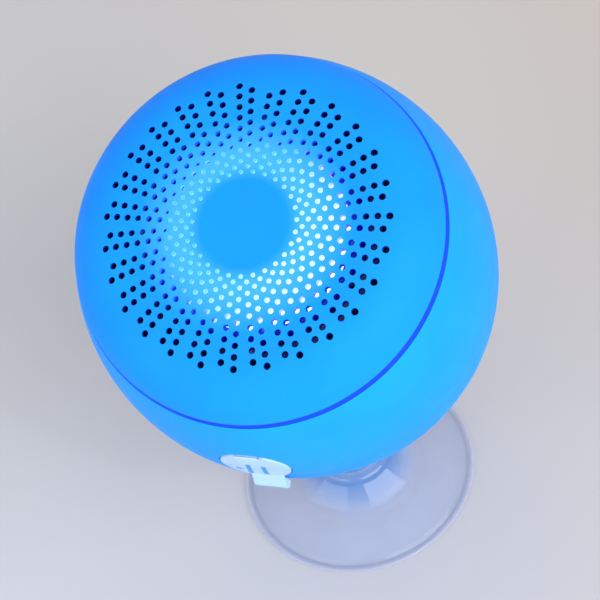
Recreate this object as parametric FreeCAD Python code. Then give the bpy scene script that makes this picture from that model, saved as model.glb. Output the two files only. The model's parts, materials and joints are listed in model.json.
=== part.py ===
"""Shower speaker: an egg-shaped speaker on a tilting, turning neck and a clear suction cup.

Millimetres. The row frame has +Z along the suction cup's axis, and its origin at the middle of the
cup's contact ring, on the surface the cup stands on. The speaker itself is drawn in a frame of its
own, with its origin at the widest section's centre, z out of the grille and -y out of the charging
port, and is then leaned over towards -Y and lifted onto the neck.
"""
import FreeCAD, Part
import math
import os
from FreeCAD import Placement, Rotation, Vector

os.makedirs("parts", exist_ok=True)

# Where the speaker sits
BODY_HEIGHT = 70.5          # centre of the speaker above the surface
LEAN = 22.0                 # lean of the grille's axis towards -Y, degrees
PORT_TURN = -3.1            # the port's place round the speaker's axis, from -y, degrees

# Casing
BODY_R = 37.0               # widest radius of the egg
BODY_C = 48.5               # half length of the egg along its axis
SHELL_T = 2.0               # wall of the rear shell
SEAM_Z = 23.0               # middle of the seam
SEAM_GAP = 1.3              # width of the seam line
SEAM_DEPTH = 0.12           # how far the gasket lies below the skin
SEAM_ROUND = 0.22           # rounding of both edges of the seam
CAP_T = 1.2                 # wall of the front cap
CAP_R = 32.45               # radius of the cap's edge at the seam
SHOULDER_R = 11.7           # radius of the cap's rounded shoulder
FACE_SLOPE = 1.5            # slope of the nearly flat face where the shoulder starts, degrees
EDGE_SLOPE = 67.5           # slope of the cap's skin at the seam, degrees
SKIRT_R = 30.1              # outside of the skirt that plugs into the shell

# Grille holes: pairs of rows that run towards the centre
ROW_PAIRS = 27
LONG_ROW = 9                # holes in the longer row of a pair
ROW_START = 24.3            # radius of the outermost hole
ROW_END = 8.96              # radius of the innermost hole
ROW_HALF_OUT = 1.12         # half the gap between the two rows of a pair, at the outside
ROW_HALF_IN = 0.58          # and at the inside
FIRST_PAIR = 94.5           # angle of the first pair, degrees
HOLE_R_OUT = 0.6
HOLE_R_IN = 0.43
CLOSED_PAIR = 1             # this pair's outermost hole is left closed

# Driver, a 40 mm full-range unit
BAFFLE_Z = 19.6             # back of the baffle
BAFFLE_T = 1.9
BAFFLE_R = 30.6
FLANGE_R = 21.4
DRIVER_SCREW_R = 20.2       # radius of the driver's screw circle
MOUTH_R = 17.7              # hole in the baffle
CONE_R = 16.2
CONE_EDGE_Z = 22.6
CONE_NECK_Z = 17.0
COIL_R = 3.6                # outside of the coil former
MAGNET_R = 12.5

# Board and battery
BOARD_Z = 0.2               # back face of the main board
BOARD_T = 1.6
BOARD_R = 30.4
BOSS_R = 27.6               # radius of the screw circles in the shell
BATTERY = (40.0, 30.0, 8.4)
BATTERY_TOP = -2.9

# Charging port and its cover
PORT_Z = 5.55               # centre of the oval port along the speaker's axis
PORT_WIDE = 6.4             # half width of the hole in the shell
PORT_TALL = 7.2             # and its half height
COVER_FIT = 0.2             # gap round the cover
COVER_BACK = 35.0           # distance of the cover's back face from the speaker's axis
BEZEL_FACE = 34.6
FLANGE_FACE = 33.2          # seat of the bezel's flange
HINGE_OUT = 35.75           # cover hinge: distance from the speaker's axis
HINGE_UP = 6.15             # and above the port's centre
BEAD_R = 0.3
BEAD_GAP = 0.05
BEAD_HALF = 1.9             # half length of the bead
STRAP_HALF = 0.2            # half thickness of the web behind it
BARREL_R = 0.55             # the cover's barrel, which wraps the bead
COVER_ROUND = 0.3           # rounding of the cover's outer edge
LIP_X = 0.95                # middle of the finger lip
LIP_HALF = 3.0              # half width of the finger lip
LIP_BACK = 37.25            # back of the lip, just clear of the shell
USB_X = -0.95
USB_W = 7.5
USB_H = 2.6
SWITCH_X = 4.2

# Neck
PIVOT_Z = 17.5              # height of the tilt pin
PIN_R = 1.25
PIN_GAP = 0.05              # running clearance round the pin and the swivel's shoulder
LUG_R = 2.9
LUG_HALF = 2.0
EAR_R = 3.1
EAR_IN = 2.35
EAR_OUT = 4.6
FORK_R = 7.2
FORK_Z = 11.2               # underside of the fork
FORK_T = 3.0
SHOULDER_BOLT_R = 2.5       # the screw that the fork turns on
PEDESTAL_Z = 22.9           # flat seat on the shell
PEDESTAL_R = 9.0
PLATE_T = 1.7
NECK_SCREW_R = 6.1

# Suction cup
CUP_R = 24.4
CUP_RIM_IN = 22.8           # where the dome meets the thin rim
CUP_HOLLOW = 3.2            # depth of the hollow underneath
CUP_BOSS_R = 7.2
CUP_BOSS_TOP = 9.6
STEM_R = 3.4
STEM_BOTTOM = 4.9

X = Vector(1, 0, 0)
Y = Vector(0, 1, 0)
Z = Vector(0, 0, 1)
O = Vector(0, 0, 0)

SPEAKER = Placement(Vector(0, 0, BODY_HEIGHT), Rotation(X, LEAN))
PORT = Placement(O, Rotation(Z, PORT_TURN))


# ---------------------------------------------------------------- helpers
def save(name, shape, place=None):
    """Write one sub-part, moved to its place."""
    shape = shape.copy()
    if place is not None:
        shape = shape.transformed(place.toMatrix())
    solids = shape.Solids
    if not solids or not shape.isValid():
        raise ValueError(name + " is not a valid solid")
    if len(solids) > 1:
        shape = Part.makeCompound(solids)
    else:
        shape = solids[0]
    shape.exportStep("parts/" + name + ".step")


def rod(r, z0, z1, x=0.0, y=0.0):
    return Part.makeCylinder(r, z1 - z0, Vector(x, y, z0), Z)


def tube(r_in, r_out, z0, z1, x=0.0, y=0.0):
    return rod(r_out, z0, z1, x, y).cut(rod(r_in, z0 - 1, z1 + 1, x, y))


def block(x0, x1, y0, y1, z0, z1):
    return Part.makeBox(x1 - x0, y1 - y0, z1 - z0, Vector(x0, y0, z0))


def rod_y(r, out0, out1, x=0.0, z=0.0):
    """A rod along -y, from out0 to out1 from the axis."""
    return Part.makeCylinder(r, out1 - out0, Vector(x, -out0, z), -Y)


def oval_y(wide, tall, out0, out1, z=0.0):
    """An upright oval prism along -y, from out0 to out1 from the axis."""
    centre = Vector(0, -out0, z)
    curve = Part.Ellipse(centre + Vector(0, 0, tall), centre + Vector(wide, 0, 0), centre)
    return Part.Face(Part.Wire(curve.toShape())).extrude(Vector(0, out0 - out1, 0))


def rod_x(r, x0, x1, y=0.0, z=0.0):
    return Part.makeCylinder(r, x1 - x0, Vector(x0, y, z), X)


def fuse(shapes):
    whole = shapes[0].multiFuse(shapes[1:]) if len(shapes) > 1 else shapes[0]
    return whole.removeSplitter()


def spin(points):
    """Revolve a closed outline of (radius, z) points about Z."""
    outline = Part.makePolygon([Vector(r, 0, z) for r, z in points + points[:1]])
    return Part.Face(outline).revolve(O, Z, 360)


def spin_edges(edges):
    """Revolve a closed outline of edges about Z."""
    outline = Part.Wire(Part.__sortEdges__(edges))
    solid = Part.Face(outline).revolve(O, Z, 360)
    if solid.Volume < 0:
        solid.reverse()
    return solid


def line(a, b):
    return Part.LineSegment(Vector(a[0], 0, a[1]), Vector(b[0], 0, b[1])).toShape()


def arc(a, b, c):
    points = [Vector(p[0], 0, p[1]) for p in (a, b, c)]
    return Part.Arc(*points).toShape()


def crown(r, z_edge, z_top):
    """Half of a shallow dome's outline: a circle centred on the axis, from its top to its edge."""
    rise = z_top - z_edge
    big = (r * r + rise * rise) / (2 * rise)
    middle = (r / 2, z_top - big + math.sqrt(big * big - r * r / 4))
    return arc((0, z_top), middle, (r, z_edge))


def round_circle(shape, r, z, size):
    """Round off the circular edges of one radius at one height."""
    found = []
    for edge in shape.Edges:
        if edge.Degenerated or not isinstance(edge.Curve, Part.Circle):
            continue
        if abs(edge.Curve.Radius - r) < 0.01 and abs(edge.CenterOfMass.z - z) < 0.01:
            found.append(edge)
    return shape.makeFillet(size, found)


def ring_of(shape, count, first=0.0):
    """Copies of a shape, evenly spaced round Z."""
    copies = []
    for i in range(count):
        one = shape.copy()
        one.rotate(O, Z, first + 360.0 * i / count)
        copies.append(one)
    return copies


def egg_radius(z, grow=0.0):
    r = BODY_R + grow
    c = BODY_C + grow
    return r * math.sqrt(1 - (z / c) ** 2)


def egg(grow, z_top):
    """The egg's solid up to the plane z_top, grown by grow."""
    r = BODY_R + grow
    c = BODY_C + grow
    curve = Part.Ellipse(Vector(0, 0, c), Vector(r, 0, 0), O)
    start = math.acos(z_top / c)
    side = Part.ArcOfEllipse(curve, start, math.pi).toShape()
    edge = (egg_radius(z_top, grow), z_top)
    return spin_edges([side, line((0, -c), (0, z_top)), line((0, z_top), edge)])


def wire_tube(points, r):
    """A round lead along straight runs joined by tangent arcs."""
    points = [Vector(*p) for p in points]
    edges = []
    start = points[0]
    for before, corner, after in zip(points, points[1:], points[2:]):
        d_in = (corner - before).normalize()
        d_out = (after - corner).normalize()
        turn = d_in.getAngle(d_out)
        reach = 0.45 * min((corner - before).Length, (after - corner).Length)
        bend = reach / math.tan(turn / 2)
        a = corner - d_in * reach
        b = corner + d_out * reach
        inward = (d_out - d_in).normalize()
        middle = corner + inward * (bend / math.cos(turn / 2) - bend)
        edges.append(Part.LineSegment(start, a).toShape())
        edges.append(Part.Arc(a, middle, b).toShape())
        start = b
    edges.append(Part.LineSegment(start, points[-1]).toShape())
    path = Part.Wire(edges)
    section = Part.Wire(Part.makeCircle(r, points[0], points[1] - points[0]))
    return path.makePipeShell([section], True, False)


def screw(head_r, head_t, shank_r, length, x=0.0, y=0.0, z=0.0):
    """A pan-head screw, head on +z, its bearing face at z, with a cross recess."""
    body = rod(head_r, z, z + head_t, x, y).fuse(rod(shank_r, z - length, z, x, y))
    slot = head_r * 0.62
    wide = head_r * 0.16
    deep = z + head_t * 0.45
    body = body.cut(block(x - slot, x + slot, y - wide, y + wide, deep, z + head_t + 1))
    return body.cut(block(x - wide, x + wide, y - slot, y + slot, deep, z + head_t + 1))


# ---------------------------------------------------------------- casing
def cap_outline(inset):
    """Corner points of the cap's skin: face centre, shoulder start, middle and end."""
    face = math.radians(FACE_SLOPE)
    edge = math.radians(EDGE_SLOPE)
    mid = (face + edge) / 2
    r = SHOULDER_R - inset
    centre_r = CAP_R - SHOULDER_R * math.sin(edge)
    centre_z = SEAM_Z + SEAM_GAP / 2 - SHOULDER_R * math.cos(edge)
    start = (centre_r + r * math.sin(face), centre_z + r * math.cos(face))
    middle = (centre_r + r * math.sin(mid), centre_z + r * math.cos(mid))
    end = (centre_r + r * math.sin(edge), centre_z + r * math.cos(edge))
    face_r = (centre_r + SHOULDER_R * math.sin(face)) / math.sin(face) - inset
    apex = start[1] + face_r * (1 - math.cos(face))
    half = (start[0] / 2, apex - face_r * (1 - math.sqrt(1 - (start[0] / 2 / face_r) ** 2)))
    return (0, apex), half, start, middle, end


def cap_solid(inset, z_bottom):
    apex, half, start, middle, end = cap_outline(inset)
    sides = [arc(apex, half, start), arc(start, middle, end)]
    foot = end
    if end[1] - z_bottom > 0.01:
        foot = (end[0], z_bottom)
        sides.append(line(end, foot))
    return spin_edges(sides + [line(foot, (0, foot[1])), line((0, foot[1]), apex)])


def grille_holes():
    holes = []
    pitch = (ROW_START - ROW_END) / (LONG_ROW - 1)
    for pair in range(ROW_PAIRS):
        angle = math.radians(FIRST_PAIR - pair * 360.0 / ROW_PAIRS)
        along = Vector(math.cos(angle), math.sin(angle), 0)
        across = Vector(-math.sin(angle), math.cos(angle), 0)
        for side in (1, -1):
            offset = 0.0 if side == 1 else 0.5
            count = LONG_ROW if side == 1 else LONG_ROW - 1
            for i in range(count):
                if pair == CLOSED_PAIR and side == 1 and i == 0:
                    continue
                r = ROW_START - pitch * (i + offset)
                t = (r - ROW_END) / (ROW_START - ROW_END)
                half = ROW_HALF_IN + (ROW_HALF_OUT - ROW_HALF_IN) * t
                hole_r = HOLE_R_IN + (HOLE_R_OUT - HOLE_R_IN) * t
                at = along * r + across * (half * side)
                holes.append(rod(hole_r, SEAM_Z + 3, SEAM_Z + 12, at.x, at.y))
    return holes


def front_cap():
    edge_z = SEAM_Z + SEAM_GAP / 2
    skin = cap_solid(0, edge_z).cut(cap_solid(CAP_T, edge_z - 1))
    skin = round_circle(skin, CAP_R, edge_z, SEAM_ROUND)
    inner_edge = cap_outline(CAP_T)[4][0]
    skirt = tube(SKIRT_R - 1.5, SKIRT_R, BAFFLE_Z + BAFFLE_T, edge_z + 1.6)
    ledge = tube(SKIRT_R - 1.5, inner_edge + 0.4, edge_z, edge_z + 1.0)
    cap = fuse([skin, skirt, ledge])
    return cap.cut(Part.makeCompound(grille_holes()))


def seam_gasket():
    """A band that fills the seam and lies just below the skin."""
    low = SEAM_Z - SEAM_GAP / 2
    high = SEAM_Z + SEAM_GAP / 2
    inner = SKIRT_R + 0.02
    return spin([(inner, low), (egg_radius(low) - SEAM_DEPTH, low),
                 (egg_radius(high) - SEAM_DEPTH, high), (inner, high)])


def boss(z0, z1, hole_deep):
    """A screw boss joined to the shell's wall by a rib, on the +x side."""
    post = rod(2.3, z0, z1, BOSS_R, 0)
    rib = block(BOSS_R, BODY_R, -0.9, 0.9, z0, z1 - 0.6)
    return post.fuse(rib).cut(rod(0.85, z1 - hole_deep, z1 + 1, BOSS_R, 0))


def in_port(shape):
    """Turn a shape drawn on -y to the port's place round the axis."""
    return shape.transformed(PORT.toMatrix())


def neck_frame(shape):
    """Bring a shape drawn in the row frame into the speaker's frame."""
    return shape.transformed(SPEAKER.inverse().toMatrix())


def neck_screw_spots():
    side = NECK_SCREW_R * math.sqrt(0.5)
    return [(sx * side, sy * side) for sx in (-1, 1) for sy in (-1, 1)]


def pedestal():
    """The moulded foot that flares from the neck's flat seat into the shell."""
    r = PEDESTAL_R
    z = PEDESTAL_Z
    flare = arc((r, z + 0.4), (r + 0.8, z + 4.8), (r + 4.0, z + 8.6))
    return spin_edges([line((0, z), (r, z)), line((r, z), (r, z + 0.4)), flare,
                       line((r + 4.0, z + 8.6), (0, z + 8.6)), line((0, z + 8.6), (0, z))])


def rear_shell():
    rim = SEAM_Z - SEAM_GAP / 2
    outer = egg(0, rim)
    inner = egg(-SHELL_T, rim)
    shell = outer.cut(inner.fuse(rod(egg_radius(rim, -SHELL_T), rim - 0.01, rim + 2)))
    shell = round_circle(shell, egg_radius(rim), rim, SEAM_ROUND)
    inside = egg(-0.6, rim)
    baffle_boss = boss(BAFFLE_Z - 9, BAFFLE_Z, 6)
    board_boss = boss(BOARD_Z - 8, BOARD_Z, 6)
    posts = [rod(2.6, -BODY_C, BATTERY_TOP - BATTERY[2] - 1.65, x, 0) for x in (-17, 17)]
    seat_wall = 1.7
    port_seat = oval_y(PORT_WIDE + seat_wall, PORT_TALL + seat_wall, FLANGE_FACE, BODY_R + 2, PORT_Z)
    port_seat = in_port(port_seat)
    solids = ring_of(baffle_boss, 4, 45) + ring_of(board_boss, 3, 90) + posts + [port_seat]
    solids = [s.common(inside) for s in solids]
    solids.append(neck_frame(pedestal()))
    shell = fuse([shell] + solids)
    cuts = [in_port(oval_y(PORT_WIDE, PORT_TALL, FLANGE_FACE - 1, BODY_R + 3, PORT_Z))]
    for x, y in neck_screw_spots():
        cuts.append(neck_frame(rod(0.8, PEDESTAL_Z - 1, PEDESTAL_Z + 4.5, x, y)))
    for x in (-17, 17):
        cuts.append(rod(0.8, BATTERY_TOP - BATTERY[2] - 7, BATTERY_TOP - BATTERY[2], x, 0))
    return shell.cut(Part.makeCompound(cuts))


def screw_circle(count, first, r, z, head_r, head_t, length, shank_r):
    return ring_of(screw(head_r, head_t, shank_r, length, r, 0, z), count, first)


# ---------------------------------------------------------------- driver
def baffle():
    top = BAFFLE_Z + BAFFLE_T
    plate = tube(MOUTH_R, BAFFLE_R, BAFFLE_Z, top)
    cuts = ring_of(rod(1.0, BAFFLE_Z - 1, top + 1, BOSS_R, 0), 4, 45)
    cuts += ring_of(rod(2.2, top - 1.0, top + 1, BOSS_R, 0), 4, 45)
    cuts += ring_of(rod(0.72, BAFFLE_Z - 1, top + 1, DRIVER_SCREW_R, 0), 4, 0)
    return plate.cut(Part.makeCompound(cuts))


def driver_basket():
    z1 = BAFFLE_Z + BAFFLE_T
    r_out = MOUTH_R - 0.3
    r_in = r_out - 0.5
    flange = tube(r_in, FLANGE_R, z1, z1 + 0.8)
    frame = spin([(r_in, z1 + 0.8), (r_in, 18.2), (12.9, 11.7), (5.2, 11.7), (5.2, 10.9),
                  (13.4, 10.9), (r_out, 18.0), (r_out, z1 + 0.8)])
    window = block(8.6, 19, -3.6, 3.6, 12.2, 17.0)
    holes = ring_of(rod(0.72, z1 - 1, z1 + 2, DRIVER_SCREW_R, 0), 4, 0)
    return fuse([flange, frame]).cut(Part.makeCompound(ring_of(window, 4, 45) + holes))


def driver_cone():
    lip = CONE_EDGE_Z
    return spin([(COIL_R + 0.02, CONE_NECK_Z), (10.0, CONE_NECK_Z + 2.1), (15.2, lip - 0.2), (CONE_R, lip),
                 (CONE_R, lip + 0.4), (15.0, lip + 0.3), (9.8, CONE_NECK_Z + 2.6),
                 (COIL_R + 0.02, CONE_NECK_Z + 0.5)])


def dust_cap():
    """A thin dome glued on the cone over the coil."""
    base = CONE_NECK_Z + 1.54
    top = base + 2.2
    return spin_edges([crown(6.6, base, top), line((0, top), (0, top - 0.35)),
                       crown(6.3, base, top - 0.35), line((6.3, base), (6.6, base))])


def surround():
    """The half-roll between the cone and the basket."""
    z = CONE_EDGE_Z
    r_in = CONE_R + 0.05
    r_out = DRIVER_SCREW_R - 1.1
    roll_in = r_in + 0.2
    roll_out = roll_in + 2.0
    mid = (roll_in + roll_out) / 2
    flat = BAFFLE_Z + BAFFLE_T + 0.82
    return spin_edges([line((r_in, z), (r_in, z + 0.35)), line((r_in, z + 0.35), (roll_in, z + 0.35)),
                       arc((roll_in, z + 0.35), (mid, z + 1.35), (roll_out, z + 0.35)),
                       line((roll_out, z + 0.35), (r_out, flat + 0.3)),
                       line((r_out, flat + 0.3), (r_out, flat)),
                       line((r_out, flat), (roll_out - 0.3, flat)),
                       line((roll_out - 0.3, flat), (roll_out - 0.3, z)),
                       arc((roll_out - 0.3, z), (mid, z + 0.85), (roll_in + 0.3, z)),
                       line((roll_in + 0.3, z), (r_in, z))])


def spider():
    """A corrugated disc that centres the coil."""
    lower = [(COIL_R + 0.07, 13.6)]
    for i in range(1, 8):
        lower.append((COIL_R + 0.07 + i * 1.0, 13.6 + (0.45 if i % 2 else -0.25)))
    lower.append((13.8, 13.7))
    upper = [(r, z + 0.3) for r, z in reversed(lower)]
    return spin(lower + upper)


def driver_yoke():
    return fuse([rod(MAGNET_R - 1.3, 2.2, 4.2), rod(3.2, 4.2, 10.6)])


# ---------------------------------------------------------------- board and battery
BOARD_TOP = BOARD_Z + BOARD_T


def main_board():
    holes = ring_of(rod(1.0, BOARD_Z - 1, BOARD_TOP + 1, BOSS_R, 0), 3, 90)
    return rod(BOARD_R, BOARD_Z, BOARD_TOP).cut(Part.makeCompound(holes))


def radio_module():
    base = block(-24, -14, 6, 18, BOARD_TOP, BOARD_TOP + 0.8)
    can = block(-23.4, -14.6, 8.6, 17.4, BOARD_TOP + 0.8, BOARD_TOP + 2.2)
    return fuse([base, can])


def amplifier_chip():
    return block(15, 20, 8, 13, BOARD_TOP + 0.05, BOARD_TOP + 1.0)


def board_parts():
    """Capacitors, a coil and lead sockets on the main board."""
    cans = [rod(2.5, BOARD_TOP, BOARD_TOP + 5.8, x, y) for x, y in ((20, 0), (20, -6.5), (14.5, 17.5))]
    coil = block(-22, -17, -5, 0, BOARD_TOP, BOARD_TOP + 2.8)
    chips = [block(x, x + 1.6, 20, 20.8, BOARD_TOP, BOARD_TOP + 0.6) for x in (-8, -5, -2, 1, 4)]
    sockets = [block(7.5, 12.5, 22, 26, BOARD_TOP, BOARD_TOP + 3.6),
               block(20.5, 25.5, 3, 7, BOARD_TOP, BOARD_TOP + 3.6)]
    return Part.makeCompound(cans + [coil] + chips + sockets)


def microphone():
    can = rod(2.0, BOARD_TOP, BOARD_TOP + 1.6, 12.5, -24.5)
    return can.cut(rod(0.5, BOARD_TOP + 1.0, BOARD_TOP + 2, 12.5, -24.5))


def status_light():
    chip = block(-16.6, -13.4, -25.5, -22.7, BOARD_TOP, BOARD_TOP + 0.7)
    lens = Part.makeSphere(1.1, Vector(-15, -24.1, BOARD_TOP + 0.7), Z, 0, 90, 360)
    return fuse([chip, lens])


def battery():
    length, width, thick = BATTERY
    z0 = BATTERY_TOP - thick
    cell = block(-length / 2, length / 2, -width / 2, width / 2, z0, BATTERY_TOP)
    return cell.makeFillet(1.6, [e for e in cell.Edges if abs(e.Vertexes[0].Z - e.Vertexes[1].Z) > 1])


def battery_tray():
    length, width, thick = BATTERY
    z0 = BATTERY_TOP - thick
    gap = 0.25
    wall = 1.2
    outer = block(-length / 2 - gap - wall, length / 2 + gap + wall, -width / 2 - gap - wall,
                  width / 2 + gap + wall, z0 - 1.6, z0 + 4)
    hollow = block(-length / 2 - gap, length / 2 + gap, -width / 2 - gap, width / 2 + gap, z0, z0 + 5)
    holes = [rod(1.0, z0 - 3, z0 + 1, x, 0) for x in (-17, 17)]
    recess = [rod(2.2, z0 - 0.75, z0 + 1, x, 0) for x in (-17, 17)]
    return outer.cut(Part.makeCompound([hollow] + holes + recess))


def tray_screws():
    z = BATTERY_TOP - BATTERY[2] - 0.75
    flat = [rod(1.9, z, z + 0.65, x, 0).fuse(rod(0.78, z - 5, z, x, 0)) for x in (-17, 17)]
    return Part.makeCompound(flat)


def foam_pad():
    length, width, _ = BATTERY
    half = (length / 2 - 3, width / 2 - 3)
    return block(-half[0], half[0], -half[1], half[1], BATTERY_TOP, BOARD_Z - 0.05)


def leads(ends, r=0.55):
    return Part.makeCompound([wire_tube(points, r) for points in ends])


def speaker_leads():
    """Two leads from the driver's terminal down to a socket on the board."""
    return leads([[(18.9, y, 15.2), (23.0, y, 15.2), (23.0, y, BOARD_TOP + 3.6)] for y in (4.3, 5.7)])


def driver_terminal():
    tag = block(15.6, 18.9, 3.2, 6.8, 14.4, 16.0)
    return tag.cut(driver_basket())


def battery_leads():
    """Two leads from the cell round the board's edge to a socket on top of it."""
    z = BATTERY_TOP - 3.0
    top = BOARD_TOP + 5.6
    ends = []
    for x in (9.2, 10.8):
        ends.append([(x, 15.0, z), (x, 31.4, z), (x, 31.4, top), (x, 24.0, top),
                     (x, 24.0, BOARD_TOP + 3.6)])
    return leads(ends, 0.5)


# ---------------------------------------------------------------- charging port
def port_bezel():
    flange = oval_y(PORT_WIDE + 1.3, PORT_TALL + 1.3, FLANGE_FACE - 1.2, FLANGE_FACE, PORT_Z)
    plug = oval_y(PORT_WIDE - 0.08, PORT_TALL - 0.08, FLANGE_FACE, BEZEL_FACE, PORT_Z)
    usb_z = BOARD_TOP + USB_H / 2
    usb = block(USB_X - USB_W / 2 - 0.25, USB_X + USB_W / 2 + 0.25, -BODY_R, -20,
                usb_z - USB_H / 2 - 0.25, usb_z + USB_H / 2 + 0.25)
    slot = block(SWITCH_X - 0.8, SWITCH_X + 0.8, -BODY_R, -20, BOARD_TOP + 0.4, BOARD_TOP + 4.6)
    strap_z = PORT_Z + HINGE_UP
    slot_half = BEAD_HALF + 0.1
    slot_up = STRAP_HALF + 0.05
    strap = block(-slot_half, slot_half, -BODY_R, -20, strap_z - slot_up, strap_z + slot_up)
    return fuse([flange, plug]).cut(Part.makeCompound([usb, slot, strap]))


def usb_socket():
    z0 = BOARD_TOP
    outer = block(USB_X - USB_W / 2, USB_X + USB_W / 2, -BEZEL_FACE + 0.1, -28.8, z0, z0 + USB_H)
    half = USB_W / 2 - 0.3
    inner = block(USB_X - half, USB_X + half, -BODY_R, -29.2, z0 + 0.3, z0 + USB_H - 0.3)
    return outer.cut(inner)


def usb_tongue():
    z0 = BOARD_TOP + 0.3
    back = block(USB_X - 3.4, USB_X + 3.4, -30.2, -29.25, z0 + 0.02, z0 + USB_H - 0.62)
    tongue = block(USB_X - 2.6, USB_X + 2.6, -33.9, -30.2, z0 + 0.9, z0 + 1.5)
    return fuse([back, tongue])


def switch_body():
    outer = block(SWITCH_X - 1.3, SWITCH_X + 1.3, -31.8, -28.4, BOARD_TOP, BOARD_TOP + 5.2)
    track = block(SWITCH_X - 0.7, SWITCH_X + 0.7, -32.5, -30.2, BOARD_TOP + 0.5, BOARD_TOP + 4.5)
    return outer.cut(track)


def switch_knob():
    z0 = BOARD_TOP + 0.6
    tall = 1.7
    stem = block(SWITCH_X - 0.6, SWITCH_X + 0.6, -BEZEL_FACE + 0.2, -30.4, z0, z0 + tall)
    ridges = []
    for z in (0.25, 0.7, 1.15):
        ridges.append(block(SWITCH_X - 0.6, SWITCH_X + 0.6, -BEZEL_FACE + 0.15, -BEZEL_FACE + 0.3,
                            z0 + z, z0 + z + 0.3))
    return stem.cut(Part.makeCompound(ridges))


def cover_strap():
    """The silicone bead and web that the cover turns on."""
    z = PORT_Z + HINGE_UP
    bead = rod_x(BEAD_R, -BEAD_HALF, BEAD_HALF, -HINGE_OUT, z)
    inner = -FLANGE_FACE + 2.6
    web = block(-BEAD_HALF, BEAD_HALF, -HINGE_OUT, inner, z - STRAP_HALF, z + STRAP_HALF)
    knob_half = BEAD_HALF + 0.6
    knob = block(-knob_half, knob_half, -FLANGE_FACE + 1.25, inner, z - 0.8, z + 0.8)
    return fuse([bead, web, knob])


def icon_cutters():
    """A dot and two bars, as rods and slots through the cover's face."""
    half = 0.42
    dot = rod_y(0.72, 30, 45, -3.2, PORT_Z - 1.3)
    bars = []
    for x, low, high, lean in ((-1.15, -4.3, 2.1, 9.0), (1.6, -3.7, 1.4, 7.0)):
        bar = block(x - half, x + half, -45, -30, PORT_Z + low, PORT_Z + high)
        ends = [rod_y(half, 30, 45, x, PORT_Z + z) for z in (low, high)]
        bar = fuse([bar] + ends)
        bar.rotate(Vector(x, 0, PORT_Z), Y, lean)
        bars.append(bar)
    return [dot] + bars


def finger_lip(pad):
    """A short ramp off the pad's lower edge that ends in a lip to lift it by."""
    bottom = PORT_Z - PORT_TALL + COVER_FIT
    corners = [(LIP_BACK, bottom - 2.5), (38.45, bottom - 2.5), (38.7, bottom - 2.2), (38.7, bottom - 0.9),
               (38.45, bottom - 0.4), (36.9, bottom + 2.6), (36.2, bottom + 2.6), (36.2, bottom + 0.3),
               (LIP_BACK, bottom + 0.3)]
    points = [Vector(LIP_X - LIP_HALF, -out, z) for out, z in corners]
    wedge = Part.Face(Part.makePolygon(points + points[:1])).extrude(Vector(2 * LIP_HALF, 0, 0))
    proud = wedge.common(block(-20, 20, -50, -LIP_BACK, -20, 20))
    return proud.fuse(wedge.common(pad))


def cover_blank():
    """The pad, its finger lip and the barrel that wraps the strap's bead."""
    skin = egg(0.2, SEAM_Z - 2)
    pad = oval_y(PORT_WIDE - COVER_FIT, PORT_TALL - COVER_FIT, COVER_BACK, 45, PORT_Z)
    disc = pad.common(skin)
    curved = [e for e in disc.Edges if not e.Degenerated and not isinstance(e.Curve, Part.Line)]
    rim = [e for e in curved if e.BoundBox.YMax < -COVER_BACK - 0.2]
    disc = disc.makeFillet(COVER_ROUND, rim)
    z = PORT_Z + HINGE_UP
    disc = disc.cut(block(-9, 9, -50, -30, z, z + 9))
    half = BEAD_HALF + 0.15
    barrel = rod_x(BARREL_R, -half, half, -HINGE_OUT, z)
    cover = fuse([disc, finger_lip(pad), barrel])
    groove = rod_x(BEAD_R + BEAD_GAP, -half - 0.05, half + 0.05, -HINGE_OUT, z)
    open_side = STRAP_HALF + 0.05
    path = block(-half - 0.05, half + 0.05, -HINGE_OUT - open_side, -COVER_BACK + 1, z - open_side, z + 3)
    return cover.cut(groove.fuse(path))


def port_cover():
    cut = Part.makeCompound(icon_cutters()).cut(egg(-0.15, SEAM_Z - 2))
    return cover_blank().cut(cut)


def cover_icon():
    cut = Part.makeCompound(icon_cutters()).cut(egg(-0.15, SEAM_Z - 2))
    return cut.common(egg(0.22, SEAM_Z - 2))


# ---------------------------------------------------------------- neck, in the row frame
def neck_mount():
    plate_r = PEDESTAL_R - 0.5
    plate = rod(plate_r, PEDESTAL_Z - PLATE_T, PEDESTAL_Z)
    plate = round_circle(plate, plate_r, PEDESTAL_Z - PLATE_T, 0.5)
    lug = rod_x(LUG_R, -LUG_HALF, LUG_HALF, 0, PIVOT_Z)
    web = block(-LUG_HALF, LUG_HALF, -LUG_R, LUG_R, PIVOT_Z, PEDESTAL_Z - PLATE_T + 0.2)
    cuts = [rod_x(PIN_R + PIN_GAP, -9, 9, 0, PIVOT_Z)]
    for x, y in neck_screw_spots():
        cuts.append(rod(0.95, 15, 30, x, y))
        cuts.append(rod(1.75, 15, PEDESTAL_Z - PLATE_T + 0.8, x, y))
    cuts.append(tube(3.3, 4.5, PEDESTAL_Z - 0.5, PEDESTAL_Z + 1))
    return fuse([plate, lug, web]).cut(Part.makeCompound(cuts))


def neck_seal():
    return tube(3.35, 4.45, PEDESTAL_Z - 0.48, PEDESTAL_Z - 0.02)


def neck_screws():
    heads = []
    seat = PEDESTAL_Z - PLATE_T + 0.8
    for x, y in neck_screw_spots():
        one = rod(1.65, seat - 0.75, seat, x, y).fuse(rod(0.79, seat, seat + 5.0, x, y))
        heads.append(one.cut(rod(0.7, seat - 1, seat - 0.3, x, y)))
    return Part.makeCompound(heads)


def tilt_washers():
    rings = []
    for side in (-1, 1):
        x0 = LUG_HALF + 0.04 if side > 0 else -EAR_IN + 0.04
        ring = rod_x(LUG_R - 0.1, x0, x0 + EAR_IN - LUG_HALF - 0.08, 0, PIVOT_Z)
        rings.append(ring.cut(rod_x(PIN_R + 0.1, -9, 9, 0, PIVOT_Z)))
    return Part.makeCompound(rings)


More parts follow.
